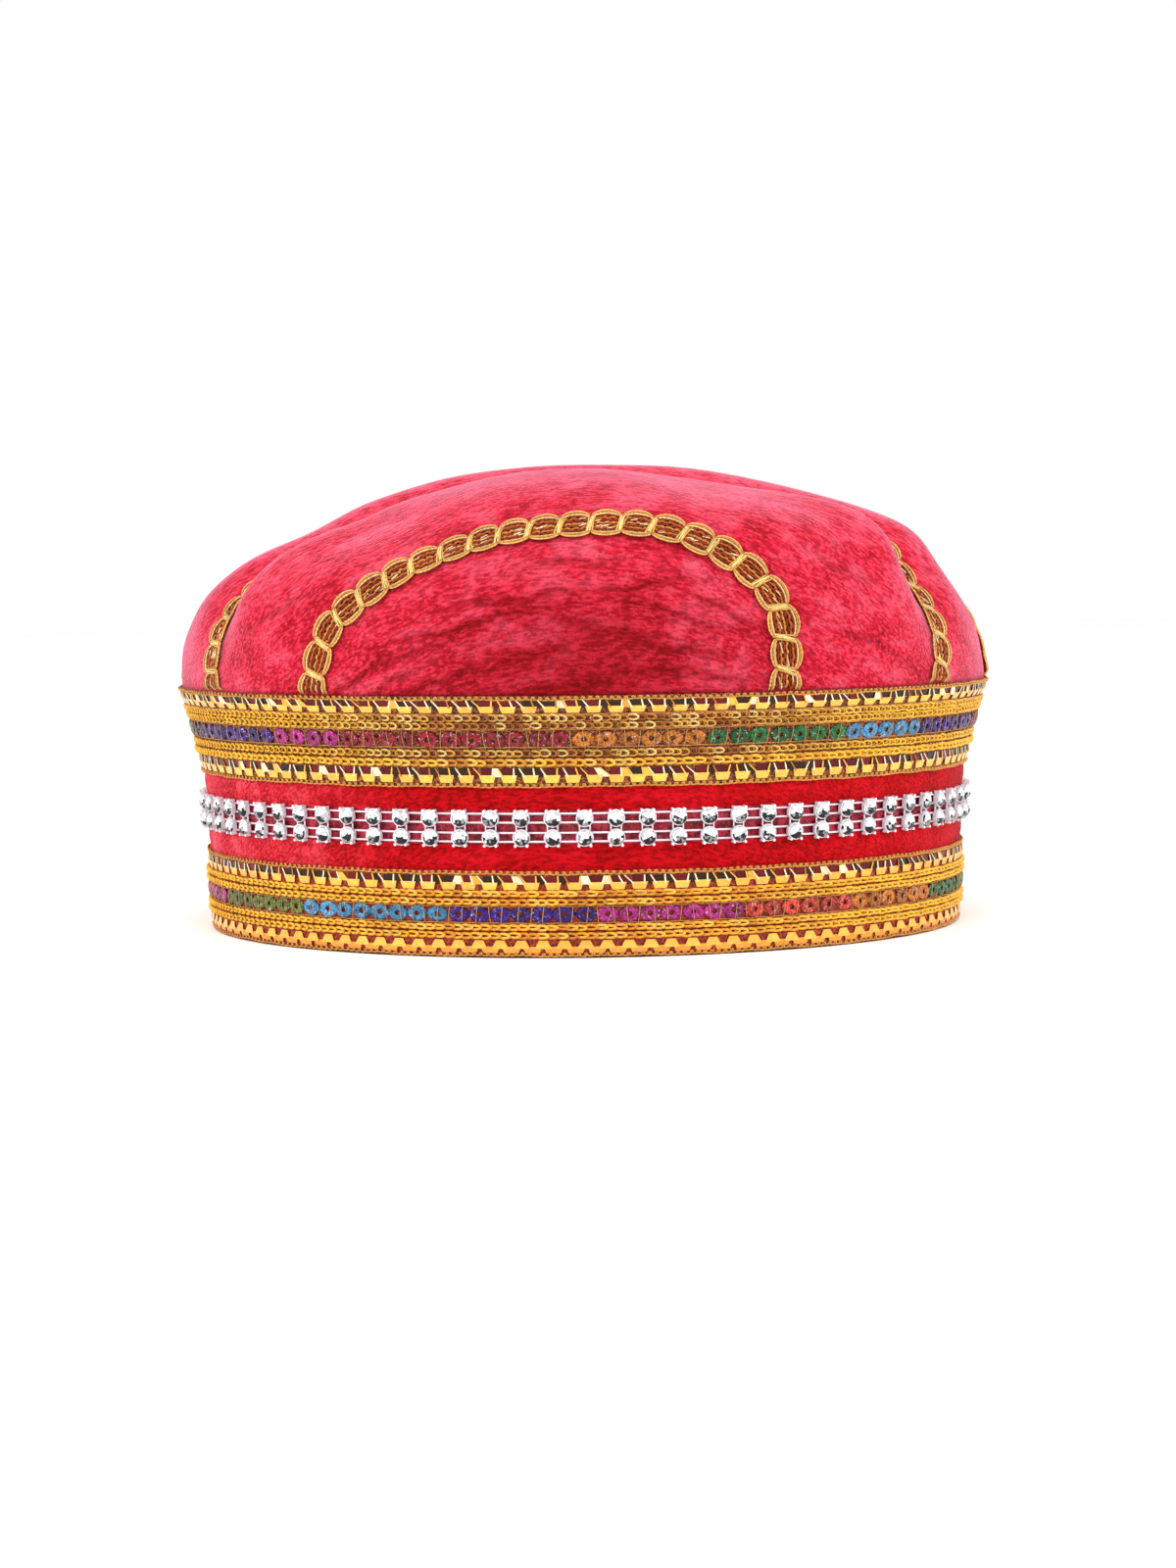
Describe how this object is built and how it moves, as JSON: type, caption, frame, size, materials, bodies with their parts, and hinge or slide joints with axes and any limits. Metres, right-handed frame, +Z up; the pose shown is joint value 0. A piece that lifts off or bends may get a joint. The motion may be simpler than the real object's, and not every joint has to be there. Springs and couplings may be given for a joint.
{
  "type": "velvet cap",
  "caption": "Brimless oval velvet cap with a padded crown, sequinned gold laces and a stone chain round the band, and rows of gold braid over the crown.",
  "frame": {"origin": "centre of the rim's lower edge, on the surface that the cap stands on", "axes": "+Z up through the crown, the front of the cap faces -Y, +X to the right as seen from the front"},
  "size_m": [0.1898, 0.1646, 0.1063],
  "materials": {
    "crimson_velvet": "crushed velvet with a short pile and a pale sheen at grazing angles",
    "wadding": "matte polyester wadding",
    "buckram": "stiffened open-weave cotton",
    "satin_lining": "thin red satin",
    "cotton_sweatband": "matte cotton tape",
    "cotton_binding": "matte cotton tape",
    "lace_ground": "fine dark red net",
    "gold_foil": "bright metallised foil",
    "sequin_film": "pearly plastic ring whose colour drifts round the row",
    "copper_gold_thread": "twisted metallic thread",
    "gold_yarn": "glossy twisted yarn",
    "chain_film": "thin see-through film",
    "silver_metal": "bright plated metal",
    "clear_stone": "foiled cut stone",
    "gold_braid": "metallic thread with a copper filling"
  },
  "bodies": {
    "root": {"band_buckram": "buckram", "band_lining": "satin_lining", "band_velvet": "crimson_velvet", "braid_aft": "gold_braid", "braid_back": "gold_braid", "braid_fore": "gold_braid", "braid_front": "gold_braid", "braid_middle": "gold_braid", "chain_backing": "chain_film", "chain_lower_cups": "silver_metal", "chain_lower_stones": "clear_stone", "chain_posts": "silver_metal", "chain_upper_cups": "silver_metal", "chain_upper_stones": "clear_stone", "chain_wires": "silver_metal", "crown_lining": "satin_lining", "crown_velvet": "crimson_velvet", "crown_wadding": "wadding", "lower_lace_cord_1": "gold_yarn", "lower_lace_cord_2": "gold_yarn", "lower_lace_cord_3": "gold_yarn", "lower_lace_cord_4": "gold_yarn", "lower_lace_edge_thread_bottom": "copper_gold_thread", "lower_lace_edge_thread_top": "copper_gold_thread", "lower_lace_foil_bottom": "gold_foil", "lower_lace_foil_top": "gold_foil", "lower_lace_sequins": "sequin_film", "lower_lace_tape": "lace_ground", "seam_binding": "cotton_binding", "sweatband": "cotton_sweatband", "upper_lace_cord_1": "gold_yarn", "upper_lace_cord_2": "gold_yarn", "upper_lace_cord_3": "gold_yarn", "upper_lace_cord_4": "gold_yarn", "upper_lace_edge_thread_bottom": "copper_gold_thread", "upper_lace_edge_thread_top": "copper_gold_thread", "upper_lace_foil_bottom": "gold_foil", "upper_lace_foil_top": "gold_foil", "upper_lace_sequins": "sequin_film", "upper_lace_tape": "lace_ground"}
  },
  "joints": []
}
